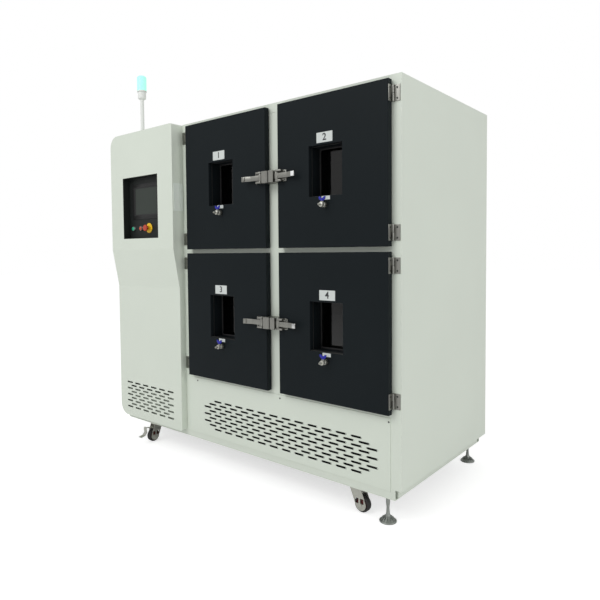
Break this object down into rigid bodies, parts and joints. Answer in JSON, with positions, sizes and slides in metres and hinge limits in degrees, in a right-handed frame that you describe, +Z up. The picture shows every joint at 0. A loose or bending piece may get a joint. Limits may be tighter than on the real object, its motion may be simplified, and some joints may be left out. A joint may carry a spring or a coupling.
{
  "type": "sample conditioning chamber",
  "caption": "Free-standing sample conditioning chamber: insulated hinged doors with viewing windows, a raised control column with touch screen and signal tower, and a slotted plant grille.",
  "frame": {"origin": "centre of the bounding box's footprint, on the floor that the wheels and feet stand on", "axes": "+Z up, doors and control column face -Y, +X to the right as seen by the user who faces the doors"},
  "size_m": [2.015, 1.067, 2.261],
  "materials": {
    "base_paint": "powder coat, satin",
    "cabinet_paint": "powder coat, fine satin",
    "liner_steel": "brushed stainless sheet",
    "shelf_steel": "electropolished wire",
    "gasket_rubber": "matt seal",
    "panel_black": "black satin",
    "bezel_black": "satin",
    "screen_glass": "glossy, dark",
    "bush_chrome": "bright",
    "stop_yellow": "satin",
    "stop_red": "gloss",
    "button_red": "gloss",
    "button_green": "gloss",
    "port_plate": "satin",
    "tower_plastic": "satin grey",
    "lens_green": "clear tinted, gloss",
    "hinge_steel": "brushed stainless",
    "latch_steel": "cast stainless, satin",
    "gland_plastic": "matt",
    "caster_zinc": "zinc plated",
    "caster_tyre": "dark rubber",
    "pedal_zinc": "zinc plated",
    "foot_steel": "zinc plated",
    "door_paint": "dark satin powder coat",
    "window_glass": "clear",
    "valve_steel": "satin stainless",
    "handle_blue": "satin blue"
  },
  "bodies": {
    "cabinet": {"base_frame": "base_paint", "side_panels": "cabinet_paint", "top_cover": "cabinet_paint", "rear_panels": "cabinet_paint", "face_frame": "cabinet_paint", "lower_grille_panel": "cabinet_paint", "control_column": "cabinet_paint", "chamber_liners": "liner_steel", "air_baffles": "liner_steel", "sample_shelves": "shelf_steel", "door_gaskets": "gasket_rubber", "control_panel": "panel_black", "hmi_bezel": "bezel_black", "hmi_screen": "screen_glass", "button_bushes": "bush_chrome", "stop_plate": "stop_yellow", "interface_plate": "port_plate", "tower_stem": "tower_plastic", "tower_lens": "lens_green", "frame_hinge_leaves": "hinge_steel", "latch_keepers": "latch_steel", "caster_plates": "caster_zinc", "rear_caster_forks": "caster_zinc", "cable_gland": "gland_plastic"},
    "door_upper_left": {"door_panel_upper_left": "door_paint", "window_glass_upper_left": "window_glass", "door_fittings_upper_left": "hinge_steel", "valve_body_upper_left": "valve_steel"},
    "lever_upper_left": {"latch_lever_upper_left": "latch_steel"},
    "handle_upper_left": {"valve_handle_upper_left": "handle_blue"},
    "door_upper_right": {"door_panel_upper_right": "door_paint", "window_glass_upper_right": "window_glass", "door_fittings_upper_right": "hinge_steel", "valve_body_upper_right": "valve_steel"},
    "lever_upper_right": {"latch_lever_upper_right": "latch_steel"},
    "handle_upper_right": {"valve_handle_upper_right": "handle_blue"},
    "door_lower_left": {"door_panel_lower_left": "door_paint", "window_glass_lower_left": "window_glass", "door_fittings_lower_left": "hinge_steel", "valve_body_lower_left": "valve_steel"},
    "lever_lower_left": {"latch_lever_lower_left": "latch_steel"},
    "handle_lower_left": {"valve_handle_lower_left": "handle_blue"},
    "door_lower_right": {"door_panel_lower_right": "door_paint", "window_glass_lower_right": "window_glass", "door_fittings_lower_right": "hinge_steel", "valve_body_lower_right": "valve_steel"},
    "lever_lower_right": {"latch_lever_lower_right": "latch_steel"},
    "handle_lower_right": {"valve_handle_lower_right": "handle_blue"},
    "red_button": {"red_button": "button_red"},
    "green_button": {"green_button": "button_green"},
    "emergency_stop": {"emergency_stop": "stop_red"},
    "caster_fork_front_left": {"caster_fork_front_left": "caster_zinc"},
    "caster_wheel_front_left": {"caster_wheel_front_left": "caster_tyre"},
    "caster_wheel_rear_left": {"caster_wheel_rear_left": "caster_tyre"},
    "brake_pedal": {"brake_pedal": "pedal_zinc"},
    "caster_fork_front_right": {"caster_fork_front_right": "caster_zinc"},
    "caster_wheel_front_right": {"caster_wheel_front_right": "caster_tyre"},
    "caster_wheel_rear_right": {"caster_wheel_rear_right": "caster_tyre"},
    "levelling_foot_front": {"levelling_foot_front": "foot_steel"},
    "levelling_foot_rear": {"levelling_foot_rear": "foot_steel"}
  },
  "joints": [
    {"name": "door_upper_left_hinge", "type": "hinge", "parent": "cabinet", "child": "door_upper_left", "pos_m": [-0.3325, -0.4515, 1.55], "axis": [0, 0, -1], "range_deg": [0, 100]},
    {"name": "lever_upper_left_pivot", "type": "hinge", "parent": "door_upper_left", "child": "lever_upper_left", "pos_m": [0.2675, -0.5015, 1.55], "axis": [0, 0, 1], "range_deg": [0, 75]},
    {"name": "handle_upper_left_turn", "type": "hinge", "parent": "door_upper_left", "child": "handle_upper_left", "pos_m": [-0.0405, -0.5045, 1.4128], "axis": [0, 0, 1], "range_deg": [0, 90]},
    {"name": "door_upper_right_hinge", "type": "hinge", "parent": "cabinet", "child": "door_upper_right", "pos_m": [0.9725, -0.4515, 1.55], "axis": [0, 0, 1], "range_deg": [0, 110]},
    {"name": "lever_upper_right_pivot", "type": "hinge", "parent": "door_upper_right", "child": "lever_upper_right", "pos_m": [0.3725, -0.5015, 1.55], "axis": [0, 0, -1], "range_deg": [0, 75]},
    {"name": "handle_upper_right_turn", "type": "hinge", "parent": "door_upper_right", "child": "handle_upper_right", "pos_m": [0.6445, -0.5045, 1.4128], "axis": [0, 0, 1], "range_deg": [0, 90]},
    {"name": "door_lower_left_hinge", "type": "hinge", "parent": "cabinet", "child": "door_lower_left", "pos_m": [-0.3325, -0.4515, 0.838], "axis": [0, 0, -1], "range_deg": [0, 100]},
    {"name": "lever_lower_left_pivot", "type": "hinge", "parent": "door_lower_left", "child": "lever_lower_left", "pos_m": [0.2675, -0.5015, 0.838], "axis": [0, 0, 1], "range_deg": [0, 75]},
    {"name": "handle_lower_left_turn", "type": "hinge", "parent": "door_lower_left", "child": "handle_lower_left", "pos_m": [-0.0405, -0.5045, 0.7008], "axis": [0, 0, 1], "range_deg": [0, 90]},
    {"name": "door_lower_right_hinge", "type": "hinge", "parent": "cabinet", "child": "door_lower_right", "pos_m": [0.9725, -0.4515, 0.838], "axis": [0, 0, 1], "range_deg": [0, 110]},
    {"name": "lever_lower_right_pivot", "type": "hinge", "parent": "door_lower_right", "child": "lever_lower_right", "pos_m": [0.3725, -0.5015, 0.838], "axis": [0, 0, -1], "range_deg": [0, 75]},
    {"name": "handle_lower_right_turn", "type": "hinge", "parent": "door_lower_right", "child": "handle_lower_right", "pos_m": [0.6445, -0.5045, 0.7008], "axis": [0, 0, 1], "range_deg": [0, 90]},
    {"name": "red_button_press", "type": "slide", "parent": "cabinet", "child": "red_button", "axis": [0, 1, 0], "range_m": [0, 0.003], "stiffness_N_per_m": 400},
    {"name": "green_button_press", "type": "slide", "parent": "cabinet", "child": "green_button", "axis": [0, 1, 0], "range_m": [0, 0.003], "stiffness_N_per_m": 400},
    {"name": "emergency_stop_press", "type": "slide", "parent": "cabinet", "child": "emergency_stop", "axis": [0, 1, 0], "range_m": [0, 0.005], "stiffness_N_per_m": 800},
    {"name": "caster_fork_front_left_swivel", "type": "hinge", "parent": "cabinet", "child": "caster_fork_front_left", "pos_m": [-0.757, -0.3935, 0.101], "axis": [0, 0, 1], "continuous": true},
    {"name": "caster_wheel_front_left_roll", "type": "hinge", "parent": "caster_fork_front_left", "child": "caster_wheel_front_left", "pos_m": [-0.757, -0.4205, 0.0375], "axis": [1, 0, 0], "continuous": true},
    {"name": "caster_wheel_rear_left_roll", "type": "hinge", "parent": "cabinet", "child": "caster_wheel_rear_left", "pos_m": [-0.757, 0.4365, 0.0375], "axis": [0, 1, 0], "continuous": true},
    {"name": "brake_pedal_press", "type": "hinge", "parent": "caster_fork_front_left", "child": "brake_pedal", "pos_m": [-0.757, -0.4265, 0.086], "axis": [1, 0, 0], "range_deg": [0, 10]},
    {"name": "caster_fork_front_right_swivel", "type": "hinge", "parent": "cabinet", "child": "caster_fork_front_right", "pos_m": [0.757, -0.3935, 0.101], "axis": [0, 0, 1], "continuous": true},
    {"name": "caster_wheel_front_right_roll", "type": "hinge", "parent": "caster_fork_front_right", "child": "caster_wheel_front_right", "pos_m": [0.784, -0.3935, 0.0375], "axis": [0, 1, 0], "continuous": true},
    {"name": "caster_wheel_rear_right_roll", "type": "hinge", "parent": "cabinet", "child": "caster_wheel_rear_right", "pos_m": [0.757, 0.4365, 0.0375], "axis": [0, 1, 0], "continuous": true},
    {"name": "levelling_foot_front_screw", "type": "slide", "parent": "cabinet", "child": "levelling_foot_front", "axis": [0, 0, 1], "range_m": [-0.03, 0]},
    {"name": "levelling_foot_rear_screw", "type": "slide", "parent": "cabinet", "child": "levelling_foot_rear", "axis": [0, 0, 1], "range_m": [-0.03, 0]}
  ]
}
